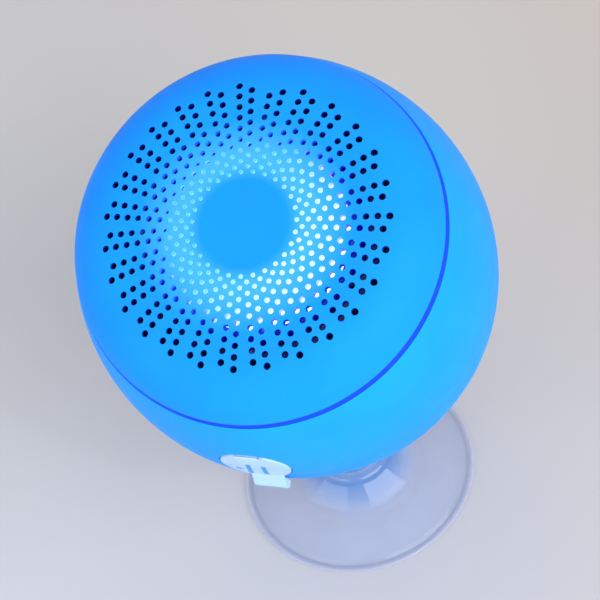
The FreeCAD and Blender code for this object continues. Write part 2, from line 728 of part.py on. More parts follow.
def tilt_pin():
    shank = rod_x(PIN_R, -EAR_OUT - 0.1, EAR_OUT + 0.1, 0, PIVOT_Z)
    heads = [rod_x(1.9, x, x + 0.8, 0, PIVOT_Z) for x in (-EAR_OUT - 0.8, EAR_OUT)]
    pin = fuse([shank] + heads)
    return pin.cut(block(EAR_OUT + 0.4, EAR_OUT + 2, -1.3, 1.3, PIVOT_Z - 0.25, PIVOT_Z + 0.25))


def swivel_fork():
    base = rod(FORK_R, FORK_Z, FORK_Z + FORK_T)
    base = round_circle(base, FORK_R, FORK_Z + FORK_T, 0.7)
    base = round_circle(base, FORK_R, FORK_Z, 0.3)
    ears = []
    for x0, x1 in ((-EAR_OUT, -EAR_IN), (EAR_IN, EAR_OUT)):
        ears.append(rod_x(EAR_R, x0, x1, 0, PIVOT_Z))
        ears.append(block(x0, x1, -EAR_R, EAR_R, FORK_Z + 1, PIVOT_Z))
    well = rod(3.75, FORK_Z + 1.8, FORK_Z + FORK_T + 0.01)
    bore = rod(SHOULDER_BOLT_R + PIN_GAP, FORK_Z - 1, FORK_Z + FORK_T)
    pin_hole = rod_x(PIN_R, -9, 9, 0, PIVOT_Z)
    return fuse([base] + ears).cut(Part.makeCompound([well, bore, pin_hole]))


def swivel_screw():
    head = rod(3.5, FORK_Z + 1.83, FORK_Z + 2.9)
    shoulder = rod(SHOULDER_BOLT_R, FORK_Z - 0.45, FORK_Z + 1.83)
    thread = rod(1.4, 6.4, FORK_Z - 0.45)
    whole = fuse([head, shoulder, thread])
    return whole.cut(block(-2.6, 2.6, -0.35, 0.35, FORK_Z + 2.4, FORK_Z + 4))


def swivel_washer():
    return tube(2.7, FORK_R - 0.5, FORK_Z - 0.45, FORK_Z - 0.02)


def cup_hub():
    """The hard hub in the cup's boss: a collar, a stem and a barb."""
    collar = rod(CUP_BOSS_R, CUP_BOSS_TOP, FORK_Z - 0.47)
    collar = round_circle(collar, CUP_BOSS_R, FORK_Z - 0.47, 0.3)
    stem = rod(STEM_R, STEM_BOTTOM, CUP_BOSS_TOP)
    barb = rod(STEM_R + 0.9, STEM_BOTTOM + 1.2, STEM_BOTTOM + 2.2)
    hub = fuse([collar, stem, barb])
    return hub.cut(rod(1.42, STEM_BOTTOM + 1.2, FORK_Z))


def suction_cup():
    """A soft clear cup: a thin rim, a dome, a boss, and a shallow hollow underneath."""
    rim_top = 0.75
    edges = [crown(CUP_RIM_IN - 0.6, 0, CUP_HOLLOW),
             line((CUP_RIM_IN - 0.6, 0), (CUP_R - 0.3, 0)),
             arc((CUP_R - 0.3, 0), (CUP_R, rim_top / 2), (CUP_R - 0.3, rim_top)),
             line((CUP_R - 0.3, rim_top), (CUP_RIM_IN + 0.3, rim_top + 0.1)),
             line((CUP_RIM_IN + 0.3, rim_top + 0.1), (CUP_RIM_IN - 0.4, rim_top + 0.75)),
             arc((CUP_RIM_IN - 0.4, rim_top + 0.75), (15.6, 4.75), (CUP_BOSS_R + 0.8, 7.9)),
             arc((CUP_BOSS_R + 0.8, 7.9), (CUP_BOSS_R + 0.25, 8.3), (CUP_BOSS_R, 8.9)),
             line((CUP_BOSS_R, 8.9), (CUP_BOSS_R, CUP_BOSS_TOP)),
             line((CUP_BOSS_R, CUP_BOSS_TOP), (0, CUP_BOSS_TOP)),
             line((0, CUP_BOSS_TOP), (0, CUP_HOLLOW))]
    cup = spin_edges(edges)
    socket = rod(STEM_R, STEM_BOTTOM, CUP_BOSS_TOP + 1)
    barb = rod(STEM_R + 0.9, STEM_BOTTOM + 1.2, STEM_BOTTOM + 2.2)
    return cup.cut(socket.fuse(barb))


# ---------------------------------------------------------------- write everything
save("front_cap", front_cap(), SPEAKER)
save("seam_gasket", seam_gasket(), SPEAKER)
save("rear_shell", rear_shell(), SPEAKER)

save("baffle", baffle(), SPEAKER)
top_of_baffle = BAFFLE_Z + BAFFLE_T
screws = screw_circle(4, 45, BOSS_R, top_of_baffle - 1.0, 1.9, 0.9, 5.0, 0.84)
save("baffle_screws", Part.makeCompound(screws), SPEAKER)
save("driver_basket", driver_basket(), SPEAKER)
screws = screw_circle(4, 0, DRIVER_SCREW_R, top_of_baffle + 0.8, 1.0, 0.9, 2.6, 0.7)
save("driver_screws", Part.makeCompound(screws), SPEAKER)
save("driver_top_plate", tube(4.15, MAGNET_R - 0.5, 8.7, 10.85), SPEAKER)
save("driver_magnet", tube(6.5, MAGNET_R, 4.25, 8.65), SPEAKER)
save("driver_yoke", driver_yoke(), SPEAKER)
save("coil_former", tube(COIL_R - 0.15, COIL_R, 7.6, CONE_NECK_Z + 1.2), SPEAKER)
save("voice_coil", tube(COIL_R + 0.01, COIL_R + 0.3, 7.8, 11.4), SPEAKER)
save("driver_cone", driver_cone(), SPEAKER)
save("dust_cap", dust_cap(), SPEAKER)
save("surround", surround(), SPEAKER)
save("spider", spider(), SPEAKER)
save("driver_terminal", driver_terminal(), SPEAKER)
save("speaker_leads", speaker_leads(), SPEAKER)

save("main_board", main_board(), SPEAKER)
screws = screw_circle(3, 90, BOSS_R, BOARD_TOP, 1.9, 1.2, 5.0, 0.84)
save("board_screws", Part.makeCompound(screws), SPEAKER)
save("radio_module", radio_module(), SPEAKER)
save("amplifier_chip", amplifier_chip(), SPEAKER)
save("board_parts", board_parts(), SPEAKER)
save("microphone", microphone(), SPEAKER)
save("status_light", status_light(), SPEAKER)
save("battery", battery(), SPEAKER)
save("battery_tray", battery_tray(), SPEAKER)
save("tray_screws", tray_screws(), SPEAKER)
save("foam_pad", foam_pad(), SPEAKER)
save("battery_leads", battery_leads(), SPEAKER)

save("port_bezel", in_port(port_bezel()), SPEAKER)
save("usb_socket", in_port(usb_socket()), SPEAKER)
save("usb_tongue", in_port(usb_tongue()), SPEAKER)
save("switch_body", in_port(switch_body()), SPEAKER)
save("switch_knob", in_port(switch_knob()), SPEAKER)
save("cover_strap", in_port(cover_strap()), SPEAKER)
save("port_cover", in_port(port_cover()), SPEAKER)
save("cover_icon", in_port(cover_icon()), SPEAKER)

save("neck_mount", neck_mount())
save("neck_seal", neck_seal())
save("neck_screws", neck_screws())
save("tilt_washers", tilt_washers())
save("tilt_pin", tilt_pin())
save("swivel_fork", swivel_fork())
save("swivel_screw", swivel_screw())
save("swivel_washer", swivel_washer())
save("cup_hub", cup_hub())
save("suction_cup", suction_cup())
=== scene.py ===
"""Shower speaker: the looks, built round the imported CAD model.

Metres, in the row frame. Lengths below are written in millimetres and scaled by MM.
The speaker's own frame has its origin at the widest section's centre and z out of the grille.
"""
import json
import math

import bpy
import numpy as np
from mathutils import Matrix, Vector
from mathutils.geometry import delaunay_2d_cdt


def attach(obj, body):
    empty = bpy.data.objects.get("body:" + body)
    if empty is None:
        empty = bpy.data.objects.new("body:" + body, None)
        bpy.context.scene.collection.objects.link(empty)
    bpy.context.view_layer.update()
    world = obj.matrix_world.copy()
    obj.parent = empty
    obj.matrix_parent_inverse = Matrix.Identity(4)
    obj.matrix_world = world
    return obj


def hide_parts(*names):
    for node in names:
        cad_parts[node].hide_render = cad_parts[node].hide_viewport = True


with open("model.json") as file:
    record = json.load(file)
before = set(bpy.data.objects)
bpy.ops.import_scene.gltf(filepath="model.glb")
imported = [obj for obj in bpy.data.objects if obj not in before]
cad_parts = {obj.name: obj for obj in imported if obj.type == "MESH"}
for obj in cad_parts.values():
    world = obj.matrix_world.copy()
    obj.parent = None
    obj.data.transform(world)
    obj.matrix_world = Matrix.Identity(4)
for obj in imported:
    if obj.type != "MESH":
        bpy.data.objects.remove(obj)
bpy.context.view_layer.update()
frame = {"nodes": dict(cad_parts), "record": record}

MM = 0.001
TINY = 1e-6

# The speaker's own frame
BODY_HEIGHT = 70.5
LEAN = math.radians(22.0)
SPEAKER = Matrix.Translation((0, 0, BODY_HEIGHT * MM)) @ Matrix.Rotation(LEAN, 4, "X")
CONE_EDGE = 16.2            # the cone's outer edge, from the speaker's axis
# The painted glow on the cone and on the hole walls is brighter towards this side
BRIGHT_WAY = (0.85, -0.52, 0.0)   # across the speaker, towards the brighter side of the cone

# Front cap
SEAM_TOP = 23.65            # the cap's edge, along the speaker's axis
SHOULDER_R = 11.7
FACE_SLOPE = math.radians(1.5)
EDGE_SLOPE = math.radians(67.5)
CAP_R = 32.45
CAP_T = 1.2
SKIRT_IN = 28.6
SKIRT_OUT = 30.1
SKIRT_BOTTOM = 21.5
HOLED_R = 26.0              # the perforated disc ends here, and the lathed shoulder begins
LATHE_STEPS = 270
SHOULDER_STEPS = 16
INSIDE_STEPS = 12
LEDGE_LOW = SEAM_TOP + 1.0  # the step inside the cap, above its skirt
LEDGE_HIGH = SEAM_TOP + 1.6
EDGE_ROUND = 0.22           # rounding of the cap's lower edge

# Grille: pairs of rows that run towards the centre
ROW_PAIRS = 27
LONG_ROW = 9
ROW_START = 24.3
ROW_END = 8.96
ROW_HALF_OUT = 1.12
ROW_HALF_IN = 0.58
FIRST_PAIR = 94.5
HOLE_R_OUT = 0.6
HOLE_R_IN = 0.43
CLOSED_PAIR = 1             # the outermost hole of this pair's long row is left out
HOLE_STEPS = 18
LIP = 0.1                   # rounding of each hole's edge
FILL_PITCH = 0.95           # spacing of the face's mesh points between the holes
FILL_CLEAR = 0.22           # least gap between those points and a hole's lip

# Foam between the battery and the board
FOAM_HALF = (16.9, 11.9, 1.5)
FOAM_MIDDLE = -1.375        # along the speaker's axis
FOAM_RINGS = 25
FOAM_STEPS = 96
FOAM_DRAWN = 0.02           # how far its sides are drawn in, as a share of their distance from the middle

CENTRE_R = CAP_R - SHOULDER_R * math.sin(EDGE_SLOPE)
CENTRE_Z = SEAM_TOP - SHOULDER_R * math.cos(EDGE_SLOPE)
FACE_END_R = CENTRE_R + SHOULDER_R * math.sin(FACE_SLOPE)
FACE_R = FACE_END_R / math.sin(FACE_SLOPE)
APEX_Z = CENTRE_Z + SHOULDER_R * math.cos(FACE_SLOPE) + FACE_R * (1 - math.cos(FACE_SLOPE))

# Suction cup, from its axis
# The blue tint round the boss is a painted reflection of the blue body
BOSS_NEAR, BOSS_FAR = 9.0, 13.5    # its blue tint fades between these
FLANK_IN, FLANK_OUT = 8.6, 13.4    # shaded as a slope, by a bump
FLANK_HEIGHT = 1.8
LINE_R = 23.1
RIM_IN, RIM_OUT = 23.6, 24.0

# Light
CAP_BLUE = (0.008, 0.24, 0.95)
# The shell's blue: the cap's blue painted lighter, for the light on the body's sides
SHELL_BLUE_PAINTED_LIGHTER = (0.009, 0.285, 0.96)
# Painted glow colours for the cone and the inner hole walls, on the dim side and the bright side
DIM_LIGHT = (0.17, 0.62, 0.96)
BRIGHT_LIGHT = (0.9, 1.0, 1.0)
# Painted shade on the outer hole walls
UNLIT_WALL = (0.0, 0.012, 0.22)
# Painted deep blue glow on the hole walls
DEEP_GLOW = (0.0, 0.004, 0.4)
# Painted blue glow on the surround by the cone
EDGE_GLOW = (0.0, 0.006, 0.6)
BLACK = (0.0, 0.0, 0.0)
# The painted glow on the hole walls is centred this far off the axis
WALL_SHIFT = 1.4            # how far the lit walls are off centre, towards the bright side

# Camera and floor
LOOK_AT = Vector((1.643, -4.006, 67.12)) * MM
AZIMUTH = math.radians(24.7)
ELEVATION = math.radians(52.0)
ROLL = math.radians(-18.9)
DISTANCE = 324.9 * MM
LENS = 108
SENSOR = 36
CLIP_START = 0.01
FLOOR_HALF = 2.5
FLOOR_DROP = 0.0001


# ---------------------------------------------------------------- mesh building
def linked(name, data):
    obj = bpy.data.objects.new(name, data)
    bpy.context.scene.collection.objects.link(obj)
    return obj


def smooth_mesh(name, points, faces):
    mesh = bpy.data.meshes.new(name)
    mesh.from_pydata([Vector(p) * MM for p in points], [], faces)
    mesh.polygons.foreach_set("use_smooth", [True] * len(mesh.polygons))
    return mesh


def facing(azimuth, elevation):
    """The unit vector from the speaker towards a camera or lamp, for angles in radians."""
    return Vector((math.sin(azimuth) * math.cos(elevation), -math.cos(azimuth) * math.cos(elevation),
                   math.sin(elevation)))


class Build:
    """Vertices, faces and a normal for each face corner, all in millimetres."""

    def __init__(self):
        self.points = []
        self.faces = []
        self.normals = []

    def add(self, points):
        first = len(self.points)
        self.points.extend(points)
        return list(range(first, len(self.points)))

    def face(self, corners, normals):
        self.faces.append(corners)
        self.normals.extend(normals)

    def make(self, name, place):
        mesh = smooth_mesh(name, self.points, self.faces)
        mesh.normals_split_custom_set([Vector(n).normalized() for n in self.normals])
        obj = linked(name, mesh)
        obj.matrix_world = place
        return obj


def turned(r, z, angle):
    return (r * math.cos(angle), r * math.sin(angle), z)


def lathe_normals(profile, hard):
    """For each run between profile points, the outward normal at its start and its end."""
    flats = []
    for (r0, z0), (r1, z1) in zip(profile, profile[1:]):
        length = math.hypot(r1 - r0, z1 - z0)
        flats.append(((z1 - z0) / length, -(r1 - r0) / length))
    pairs = []
    for i, flat in enumerate(flats):
        start = flat if i in hard or i == 0 else tuple(np.add(flat, flats[i - 1]) / 2)
        last = i == len(flats) - 1
        end = flat if i + 1 in hard or last else tuple(np.add(flat, flats[i + 1]) / 2)
        pairs.append((start, end))
    return pairs


def lathe(build, profile, hard, first_ring, last_ring):
    """Spin a profile about the axis, with the outside on its right, between two rings that exist already."""
    angles = [2 * math.pi * i / LATHE_STEPS for i in range(LATHE_STEPS)]
    middle = [build.add([turned(r, z, a) for a in angles]) for r, z in profile[1:-1]]
    rings = [first_ring, *middle, last_ring]
    for (low, high), (n0, n1) in zip(zip(rings, rings[1:]), lathe_normals(profile, hard)):
        for i in range(LATHE_STEPS):
            j = (i + 1) % LATHE_STEPS
            build.face([low[i], low[j], high[j], high[i]],
                       [turned(*n0, angles[i]), turned(*n0, angles[j]),
                        turned(*n1, angles[j]), turned(*n1, angles[i])])


# ---------------------------------------------------------------- front cap
def cap_z(r, inset=0.0):
    """Height of the cap's skin, or of its inside, at a radius."""
    shoulder = SHOULDER_R - inset
    if r <= CENTRE_R + shoulder * math.sin(FACE_SLOPE):
        big = FACE_R - inset
        return APEX_Z - inset - big + math.sqrt(big * big - r * r)
    return CENTRE_Z + math.sqrt(shoulder * shoulder - (r - CENTRE_R) ** 2)


def cap_normal(x, y):
    """Outward normal of the cap's skin."""
    r = math.hypot(x, y)
    slope = math.asin(r / FACE_R) if r <= FACE_END_R else math.asin((r - CENTRE_R) / SHOULDER_R)
    if r < TINY:
        return (0, 0, 1)
    return (math.sin(slope) * x / r, math.sin(slope) * y / r, math.cos(slope))


def grille_holes():
    """(x, y, radius) of each hole."""
    found = []
    pitch = (ROW_START - ROW_END) / (LONG_ROW - 1)
    for pair in range(ROW_PAIRS):
        angle = math.radians(FIRST_PAIR - pair * 360.0 / ROW_PAIRS)
        along = (math.cos(angle), math.sin(angle))
        for side in (1, -1):
            count, offset = (LONG_ROW, 0.0) if side == 1 else (LONG_ROW - 1, 0.5)
            for i in range(count):
                if pair == CLOSED_PAIR and side == 1 and i == 0:
                    continue
                r = ROW_START - pitch * (i + offset)
                t = (r - ROW_END) / (ROW_START - ROW_END)
                half = (ROW_HALF_IN + (ROW_HALF_OUT - ROW_HALF_IN) * t) * side
                at = (along[0] * r - along[1] * half, along[1] * r + along[0] * half)
                found.append((*at, HOLE_R_IN + (HOLE_R_OUT - HOLE_R_IN) * t))
    return found


def hole_turns():
    return [2 * math.pi * i / HOLE_STEPS for i in range(HOLE_STEPS)]


def disc_mesh(holes, centres, sizes):
    """The perforated disc, flat: its points, its triangles, its edge ring and each hole's ring."""
    flat, edges, hole_rings = [], [], []
    for i in range(LATHE_STEPS):
        angle = 2 * math.pi * i / LATHE_STEPS
        flat.append((HOLED_R * math.cos(angle), HOLED_R * math.sin(angle)))
        edges.append((i, (i + 1) % LATHE_STEPS))
    for x, y, r in holes:
        first = len(flat)
        flat.extend((x + (r + LIP) * math.cos(a), y + (r + LIP) * math.sin(a)) for a in hole_turns())
        ring = list(range(first, first + HOLE_STEPS))
        hole_rings.append(ring)
        edges.extend(zip(ring, ring[1:] + ring[:1]))
    flat.append((0.0, 0.0))
    for k in range(1, int(HOLED_R / FILL_PITCH)):
        r = FILL_PITCH * k
        count = round(2 * math.pi * k)
        for i in range(count):
            angle = 2 * math.pi * (i + 0.5 * (k % 2)) / count
            p = np.array((r * math.cos(angle), r * math.sin(angle)))
            if (np.hypot(*(centres - p).T) > sizes + LIP + FILL_CLEAR).all():
                flat.append(tuple(p))

    points, _, triangles, origins, _, _ = delaunay_2d_cdt([Vector(p) for p in flat], edges, [], 0, 1e-5)
    home = {old: new for new, olds in enumerate(origins) for old in olds}
    kept = []
    for tri in triangles:
        middle = np.mean([points[i][:] for i in tri], axis=0)
        if (np.hypot(*(centres - middle).T) > sizes).all():
            kept.append(tri)
    edge = [home[i] for i in range(LATHE_STEPS)]
    return points, kept, edge, [[home[i] for i in ring] for ring in hole_rings]


def hole_wall(build, hole, top_ring, bottom_ring):
    """The wall of one hole, rounded at its outer edge."""
    x, y, r = hole
    turns = hole_turns()
    rings = [top_ring]
    for out, deep in ((0.29, 0.29), (0.0, 1.0)):
        low = [(x + (r + out * LIP) * math.cos(a), y + (r + out * LIP) * math.sin(a)) for a in turns]
        rings.append(build.add([(px, py, cap_z(math.hypot(px, py)) - deep * LIP) for px, py in low]))
    rings.append(bottom_ring)
    up = cap_normal(x, y)
    tilts = (0.0, 0.5, 1.0, 1.0)
    for (high, low), (t0, t1) in zip(zip(rings, rings[1:]), zip(tilts, tilts[1:])):
        for i in range(HOLE_STEPS):
            j = (i + 1) % HOLE_STEPS
            normals = []
            for angle, t in ((turns[i], t0), (turns[j], t0), (turns[j], t1), (turns[i], t1)):
                inward = (-math.cos(angle), -math.sin(angle), 0)
                normals.append(tuple(u * (1 - t) + w * t for u, w in zip(up, inward)))
            build.face([high[i], high[j], low[j], low[i]], normals)


def cap_disc(build, holes):
    """The perforated disc, inside and out, with its hole walls. Returns its inner and outer edge rings."""
    centres = np.array([(x, y) for x, y, _ in holes])
    sizes = np.array([r for _, _, r in holes])
    points, triangles, edge, hole_rings = disc_mesh(holes, centres, sizes)
    outer = build.add([(p[0], p[1], cap_z(p.length)) for p in points])
    hole_of = {i: k for k, ring in enumerate(hole_rings) for i in ring}
    under = []
    for i, p in enumerate(points):
        if i in hole_of:
            k = hole_of[i]
            away = np.array(p[:]) - centres[k]
            p = Vector(centres[k] + away * sizes[k] / np.linalg.norm(away))
        under.append((p[0], p[1], cap_z(p.length, CAP_T)))
    inner = build.add(under)
    for tri in triangles:
        a, b, c = (points[i] for i in tri)
        if (b - a).cross(c - a) < 0:
            tri = tri[::-1]
        back = tri[::-1]
        build.face([outer[i] for i in tri], [cap_normal(*points[i]) for i in tri])
        build.face([inner[i] for i in back], [tuple(-u for u in cap_normal(*points[i])) for i in back])
    for hole, ring in zip(holes, hole_rings):
        hole_wall(build, hole, [outer[i] for i in ring], [inner[i] for i in ring])
    return [inner[i] for i in edge], [outer[i] for i in edge]


def arc(radius, start, end, steps):
    """(r, z) points on a shoulder arc of the cap."""
    angles = [start + (end - start) * i / steps for i in range(steps + 1)]
    return [(CENTRE_R + radius * math.sin(a), CENTRE_Z + radius * math.cos(a)) for a in angles]


def cap_shoulder(build, inner_edge, outer_edge):
    """The lathed part, from the disc's inner edge round the skirt to its outer edge."""
    inside_r = SHOULDER_R - CAP_T
    inside = arc(inside_r, math.asin((HOLED_R - CENTRE_R) / inside_r),
                 math.acos((LEDGE_LOW - CENTRE_Z) / inside_r), INSIDE_STEPS)
    skin = arc(SHOULDER_R, math.asin((HOLED_R - CENTRE_R) / SHOULDER_R), EDGE_SLOPE, SHOULDER_STEPS)[::-1]
    (r0, z0), (r1, z1) = skin[:2]
    rounded = [(r0 - 1.6 * EDGE_ROUND, SEAM_TOP), (r0 - 0.7 * EDGE_ROUND, SEAM_TOP + 0.02),
               (r0 - 0.12, SEAM_TOP + 0.1), (r1 + (r0 - r1) * 0.55, z1 + (z0 - z1) * 0.55)]
    ledge = [(SKIRT_OUT, LEDGE_LOW), (SKIRT_OUT, LEDGE_HIGH), (SKIRT_IN, LEDGE_HIGH),
             (SKIRT_IN, SKIRT_BOTTOM), (SKIRT_OUT, SKIRT_BOTTOM), (SKIRT_OUT, SEAM_TOP)]
    hard = set(range(len(inside) - 1, len(inside) + len(ledge)))
    lathe(build, inside + ledge + rounded + skin[1:], hard, inner_edge, outer_edge)


def front_cap():
    build = Build()
    cap_shoulder(build, *cap_disc(build, grille_holes()))
    obj = build.make("cap_skin", SPEAKER)
    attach(obj, "speaker")
    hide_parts("front_cap")
    return obj


# ---------------------------------------------------------------- foam
def signed_power(value, power):
    return math.copysign(abs(value) ** power, value)


def foam_cushion():
    """Crowned on both faces, with rounded sides drawn in a little."""
    points = [(0.0, 0.0, FOAM_MIDDLE + FOAM_HALF[2])]
    for i in range(1, FOAM_RINGS):
        climb = math.pi * i / FOAM_RINGS
        reach = math.sin(climb) ** 0.4
        height = signed_power(math.cos(climb), 0.5)
        for k in range(FOAM_STEPS):
            angle = 2 * math.pi * k / FOAM_STEPS
            across, along = signed_power(math.cos(angle), 0.3), signed_power(math.sin(angle), 0.3)
            drawn = 1.0 - FOAM_DRAWN * math.cos(2 * angle) ** 2
            points.append((FOAM_HALF[0] * reach * across * drawn, FOAM_HALF[1] * reach * along * drawn,
                           FOAM_MIDDLE + FOAM_HALF[2] * height))
    last = len(points)
    points.append((0.0, 0.0, FOAM_MIDDLE - FOAM_HALF[2]))
    faces = []
    for k in range(FOAM_STEPS):
        after = (k + 1) % FOAM_STEPS
        faces.append((0, 1 + k, 1 + after))
        for i in range(FOAM_RINGS - 2):
            a, b = 1 + i * FOAM_STEPS, 1 + (i + 1) * FOAM_STEPS
            faces.append((a + k, b + k, b + after, a + after))
        faces.append((last - FOAM_STEPS + k, last, last - FOAM_STEPS + after))
    obj = linked("foam_cushion", smooth_mesh("foam_cushion", points, faces))
    obj.matrix_world = SPEAKER
    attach(obj, "speaker")
    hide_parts("foam_pad")
    return obj


# ---------------------------------------------------------------- materials
class Nodes:
    """Short calls for building a node tree."""

    def __init__(self, name):
        self.material = bpy.data.materials.new(name)
        self.material.use_nodes = True
        self.tree = self.material.node_tree
        self.tree.nodes.clear()
        self.out = self.tree.nodes.new("ShaderNodeOutputMaterial")
        self.place = self.new("ShaderNodeTexCoord").outputs["Object"]

    def new(self, kind, settings=None, **inputs):
        node = self.tree.nodes.new(kind)
        for key, value in (settings or {}).items():
            setattr(node, key, value)
        for key, value in inputs.items():
            self.put(node.inputs[key.replace("_", " ")], value)
        return node

    def put(self, socket, value):
        if isinstance(value, bpy.types.NodeSocket):
            self.tree.links.new(value, socket)
        else:
            socket.default_value = value

    def math(self, operation, a, b=0.0):
        node = self.new("ShaderNodeMath", {"operation": operation})
        for socket, value in zip(node.inputs, (a, b)):
            self.put(socket, value)
        return node.outputs[0]

    def noise(self, size, detail=3.0, rough=0.55, vector=None):
        """Noise whose features are about size millimetres across."""
        return self.new("ShaderNodeTexNoise", Vector=vector or self.place, Scale=1 / (size * MM),
                        Detail=detail, Roughness=rough).outputs["Fac"]

    def cells(self, size, vector=None):
        """Distance from the middle of the nearest cell, for cells size millimetres across."""
        return self.new("ShaderNodeTexVoronoi", Vector=vector or self.place,
                        Scale=1 / (size * MM)).outputs["Distance"]

    def remap(self, value, low, high, to_low, to_high):
        node = self.new("ShaderNodeMapRange", {"clamp": True}, Value=value)
        for key, number in zip(("From Min", "From Max", "To Min", "To Max"), (low, high, to_low, to_high)):
            node.inputs[key].default_value = number
        return node.outputs[0]

    def ramp(self, value, *stops):
        node = self.new("ShaderNodeValToRGB", Fac=value)
        ramp = node.color_ramp
        while len(ramp.elements) < len(stops):
            ramp.elements.new(0.5)
        for element, (at, colour) in zip(ramp.elements, stops):
            element.position = at
            element.color = (*colour, 1)
        return node.outputs[0]

    def blend(self, fac, a, b):
        node = self.new("ShaderNodeMix", {"data_type": "RGBA"})
        self.put(node.inputs[0], fac)
        self.put(node.inputs[6], a if isinstance(a, bpy.types.NodeSocket) else (*a, 1))
        self.put(node.inputs[7], b if isinstance(b, bpy.types.NodeSocket) else (*b, 1))
        return node.outputs[2]

    def stretched(self, scale, rotation=(0, 0, 0), vector=None):
        return self.new("ShaderNodeMapping", Vector=vector or self.place, Scale=scale,
                        Rotation=rotation).outputs[0]

    def along(self, direction, vector=None):
        """How far a point lies along a direction."""
        node = self.new("ShaderNodeVectorMath", {"operation": "DOT_PRODUCT"})
        self.put(node.inputs[0], vector or self.place)
        node.inputs[1].default_value = direction
        return node.outputs["Value"]

    def bump(self, height, depth, strength=1.0, normal=None):
        """A bump depth millimetres deep."""
        node = self.new("ShaderNodeBump", Height=height, Distance=depth * MM, Strength=strength)
        if normal is not None:
            self.put(node.inputs["Normal"], normal)
        return node.outputs[0]

    def shader(self, colour, rough, normal=None, **sockets):
        node = self.new("ShaderNodeBsdfPrincipled")
        linked_colour = isinstance(colour, bpy.types.NodeSocket)
        self.put(node.inputs["Base Color"], colour if linked_colour else (*colour, 1))
        self.put(node.inputs["Roughness"], rough)
        if normal is not None:
            self.put(node.inputs["Normal"], normal)
        for key, value in sockets.items():
            self.put(node.inputs[key.replace("_", " ")], value)
        self.tree.links.new(node.outputs[0], self.out.inputs[0])
        self.material.diffuse_color = (0.5, 0.5, 0.5, 1)


def shade(colour, factor):
    return tuple(min(1.0, c * factor) for c in colour)


def moulded(name, colour, rough, grain=0.35, depth=0.006, mottle=0.06):
    """Moulded plastic: a fine spark-eroded grain, faint flow marks and small scuffs."""
    n = Nodes(name)
    flow = n.noise(9.0, 4.0)
    tint = n.ramp(flow, (0.3, shade(colour, 1 - mottle)), (0.7, shade(colour, 1 + mottle)))
    fine = n.noise(grain, 2.0)
    scuffs = n.noise(0.5, 6.0, 0.7, n.stretched((1, 1, 14), (0.6, 0.4, 0)))
    worn = n.remap(scuffs, 0.6, 0.75, 0.0, 0.12)
    roughness = n.math("ADD", n.remap(n.noise(3.0, 5.0), 0.3, 0.7, rough - 0.05, rough + 0.05), worn)
    n.shader(tint, roughness, n.bump(fine, depth))
    return n.material


def metal(name, colour, rough, lines=(1, 1, 20), mottle=0.1, depth=0.004):
    """Worked metal: tool lines one way, with blotches of dulling."""
    n = Nodes(name)
    streak = n.noise(0.9, 5.0, 0.65, n.stretched(lines))
    blotch = n.noise(2.2, 4.0)
    tint = n.blend(n.remap(blotch, 0.35, 0.7, 0.0, 1.0), shade(colour, 1 + mottle), shade(colour, 1 - mottle))
    roughness = n.remap(n.math("MULTIPLY", streak, blotch), 0.1, 0.4, rough - 0.08, rough + 0.14)
    n.shader(tint, roughness, n.bump(streak, depth), Metallic=1.0)
    return n.material


def rubbery(name, colour, rough, **sockets):
    """Silicone or rubber: a soft bloom, fine pores and a little dust."""
    n = Nodes(name)
    bloom = n.noise(3.2, 5.0)
    pores = n.cells(0.22)
    tint = n.ramp(bloom, (0.3, shade(colour, 0.93)), (0.72, shade(colour, 1.07)))
    n.shader(tint, n.remap(bloom, 0.3, 0.7, rough - 0.08, rough + 0.08), n.bump(pores, 0.01, 0.6), **sockets)
    return n.material


def woven(name, colour):
    """Resin-treated cloth: crossed threads with uneven dye, the threads painted lighter and the gaps between
    them painted with shade.
    """
    n = Nodes(name)
    heights = []
    for turn in (0.0, math.pi / 2):
        wave = n.new("ShaderNodeTexWave", {"wave_type": "BANDS", "bands_direction": "X"},
                     Vector=n.stretched((1, 1, 1), (0, 0, turn)), Scale=0.16 / (0.45 * MM), Distortion=0.6)
        heights.append(wave.outputs["Fac"])
    cloth = n.math("MAXIMUM", *heights)
    dye = n.noise(1.4, 4.0)
    # Painted shade in the gaps between the threads, painted light on their tops
    tint = n.blend(n.remap(cloth, 0.3, 0.95, 0.0, 1.0), shade(colour, 0.55), shade(colour, 1.15))
    tint = n.blend(n.remap(dye, 0.35, 0.7, 0.0, 0.35), tint, shade(colour, 0.7))
    n.shader(tint, 0.85, n.bump(cloth, 0.05))
    return n.material


def axis_radius(n, place=None):
    """Distance from the speaker's axis, in millimetres."""
    flat = n.new("ShaderNodeVectorMath", {"operation": "MULTIPLY"})
    n.put(flat.inputs[0], place or n.place)
    flat.inputs[1].default_value = (1, 1, 0)
    length = n.new("ShaderNodeVectorMath", {"operation": "LENGTH"})
    n.put(length.inputs[0], flat.outputs[0])
    return n.math("MULTIPLY", length.outputs["Value"], 1 / MM)


def speaker_place(n):
    """Object coordinates brought into the speaker's frame, for the CAD's own meshes."""
    moved = n.new("ShaderNodeMapping", {"vector_type": "TEXTURE"}, Vector=n.place,
                  Location=(0, 0, BODY_HEIGHT * MM), Rotation=(LEAN, 0, 0))
    return moved.outputs[0]


def painted_glow_colour(n, place):
    """The painted glow's colour, on the cone and the hole walls: cyan, painted nearly white towards one side.
    """
    side = n.along([c / MM for c in BRIGHT_WAY], place)
    return n.blend(n.remap(side, -2.0, 9.0, 0.0, 1.0), DIM_LIGHT, BRIGHT_LIGHT)


